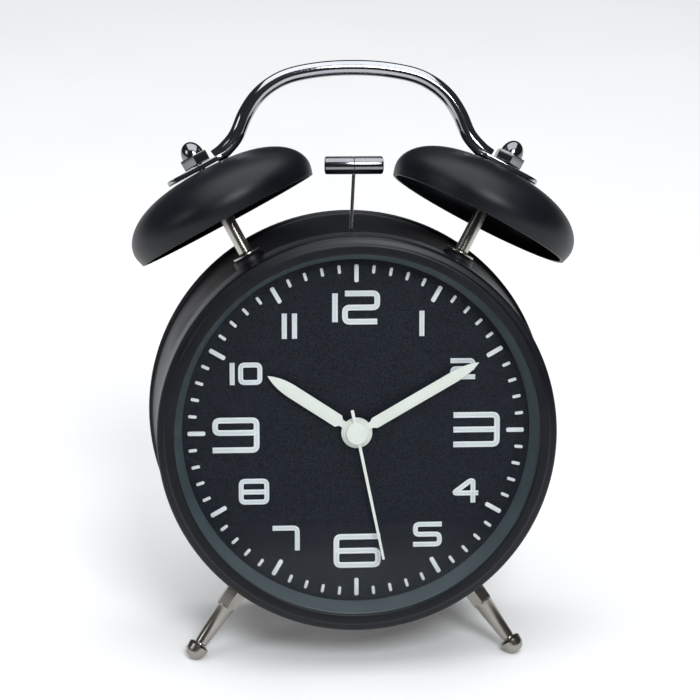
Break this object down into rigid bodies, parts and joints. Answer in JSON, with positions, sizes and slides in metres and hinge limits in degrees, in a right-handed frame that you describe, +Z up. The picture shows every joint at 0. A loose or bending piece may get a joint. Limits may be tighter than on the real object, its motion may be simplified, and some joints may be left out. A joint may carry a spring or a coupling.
{
  "type": "alarm clock",
  "caption": "Round twin-bell alarm clock on two ball-footed legs and its rear rim, with a hammer between the bells, a carrying handle, moving hands and rear setting knobs.",
  "frame": {"origin": "middle of the clock's plan outline, on the table it stands on", "axes": "+X to the right of the dial, +Y from the dial towards the back, +Z up from the table; the dial leans back by about 13 degrees"},
  "size_m": [0.1164, 0.068, 0.1513],
  "materials": {
    "case_paint": "matte blue-black powder coat",
    "bell_paint": "matte blue-black powder coat",
    "lens_glass": "clear flat window",
    "ring_grey": "satin grey",
    "dial_black": "fine sand grain with white raised figures",
    "black_plastic": "moulded, fine texture",
    "hand_steel": "bare",
    "hand_white": "luminous white enamel",
    "nylon": "natural acetal",
    "steel": "zinc plated",
    "brass_wheel": "turned",
    "magnet": "sintered",
    "copper": "enamelled copper winding",
    "board_green": "solder mask",
    "cell_jacket": "plain printed sleeve",
    "knob_plastic": "moulded, fluted",
    "switch_grey": "moulded",
    "chrome": "bright chrome plate",
    "nut_chrome": "dark chrome plate",
    "nickel": "bright nickel plate",
    "leg_nickel": "dark nickel plate"
  },
  "bodies": {
    "case": {"case_drum": "case_paint", "bezel": "case_paint", "bell_left": "bell_paint", "bell_right": "bell_paint", "lens": "lens_glass", "rehaut_ring": "ring_grey", "dial": "dial_black", "dial_frame": "black_plastic", "movement_housing": "nylon", "movement_cover": "nylon", "movement_screw_left": "steel", "movement_screw_right": "steel", "stator_core": "steel", "stator_coil": "copper", "circuit_board": "board_green", "quartz_crystal": "steel", "rear_cover": "black_plastic", "battery_upper": "cell_jacket", "battery_lower": "cell_jacket", "battery_contact_right": "steel", "battery_contact_left": "steel", "rear_screw_1": "steel", "rear_screw_2": "steel", "rear_screw_3": "steel", "handle": "chrome", "striker_bracket": "steel", "striker_core": "steel", "striker_coil": "copper", "hammer_pivot": "steel", "bell_post_left": "nickel", "bell_post_right": "nickel", "post_washer_left": "nickel", "post_washer_right": "nickel", "post_nut_left": "steel", "post_nut_right": "steel", "cap_nut_left": "nut_chrome", "cap_nut_right": "nut_chrome", "leg_left": "leg_nickel", "leg_right": "leg_nickel", "leg_nut_left": "steel", "leg_nut_right": "steel"},
    "minute": {"minute_hand": "hand_white", "minute_wheel": "brass_wheel"},
    "hour": {"hour_hand": "hand_white", "hour_wheel": "nylon"},
    "second": {"second_hand": "hand_white", "second_wheel": "brass_wheel"},
    "alarm": {"alarm_hand": "hand_steel", "alarm_wheel": "nylon"},
    "time_setting": {"motion_wheel": "nylon", "time_set_knob": "knob_plastic"},
    "alarm_setting": {"alarm_set_pinion": "nylon", "alarm_set_knob": "knob_plastic"},
    "stepper": {"step_wheel": "nylon"},
    "rotor_magnet": {"rotor": "magnet"},
    "hammer": {"hammer_arm": "nickel", "hammer_head": "chrome"},
    "switch": {"alarm_switch": "switch_grey"},
    "door": {"battery_door": "black_plastic"}
  },
  "joints": [
    {"name": "minute_turn", "type": "hinge", "parent": "case", "child": "minute", "pos_m": [0, -0.01536, 0.06127], "axis": [0, 0.9742, -0.2259], "continuous": true},
    {"name": "hour_turn", "type": "hinge", "parent": "case", "child": "hour", "pos_m": [0, -0.01536, 0.06127], "axis": [0, 0.9742, -0.2259], "continuous": true},
    {"name": "second_turn", "type": "hinge", "parent": "case", "child": "second", "pos_m": [0, -0.01536, 0.06127], "axis": [0, 0.9742, -0.2259], "continuous": true},
    {"name": "alarm_turn", "type": "hinge", "parent": "case", "child": "alarm", "pos_m": [0, -0.01536, 0.06127], "axis": [0, 0.9742, -0.2259], "continuous": true},
    {"name": "time_setting_turn", "type": "hinge", "parent": "case", "child": "time_setting", "pos_m": [0.014, 0.01873, 0.05336], "axis": [0, 0.9742, -0.2259], "continuous": true},
    {"name": "alarm_setting_turn", "type": "hinge", "parent": "case", "child": "alarm_setting", "pos_m": [-0.014, 0.01873, 0.05336], "axis": [0, 0.9742, -0.2259], "continuous": true},
    {"name": "stepper_turn", "type": "hinge", "parent": "case", "child": "stepper", "pos_m": [0, -0.00486, 0.07115], "axis": [0, 0.9742, -0.2259], "continuous": true},
    {"name": "rotor_turn", "type": "hinge", "parent": "case", "child": "rotor_magnet", "pos_m": [-0.009, -0.00398, 0.07493], "axis": [0, 0.9742, -0.2259], "continuous": true},
    {"name": "hammer_swing", "type": "hinge", "parent": "case", "child": "hammer", "pos_m": [-0.00165, 0.00206, 0.09213], "axis": [0, 0.9742, -0.2259], "range_deg": [-3.8, 3.8], "stiffness_Nm_per_rad": 0.02},
    {"name": "switch_slide", "type": "slide", "parent": "case", "child": "switch", "axis": [1, 0, 0], "range_m": [0, 0.005]},
    {"name": "door_pull", "type": "slide", "parent": "case", "child": "door", "axis": [0, 0.9742, -0.2259], "range_m": [0, 0.012]}
  ],
  "couplings": [
    {"joint": "hour_turn", "follows": "minute_turn", "ratio": 0.083333},
    {"joint": "time_setting_turn", "follows": "minute_turn", "ratio": -0.33333},
    {"joint": "alarm_setting_turn", "follows": "alarm_turn", "ratio": -2},
    {"joint": "stepper_turn", "follows": "second_turn", "ratio": -5},
    {"joint": "rotor_turn", "follows": "second_turn", "ratio": 30}
  ]
}
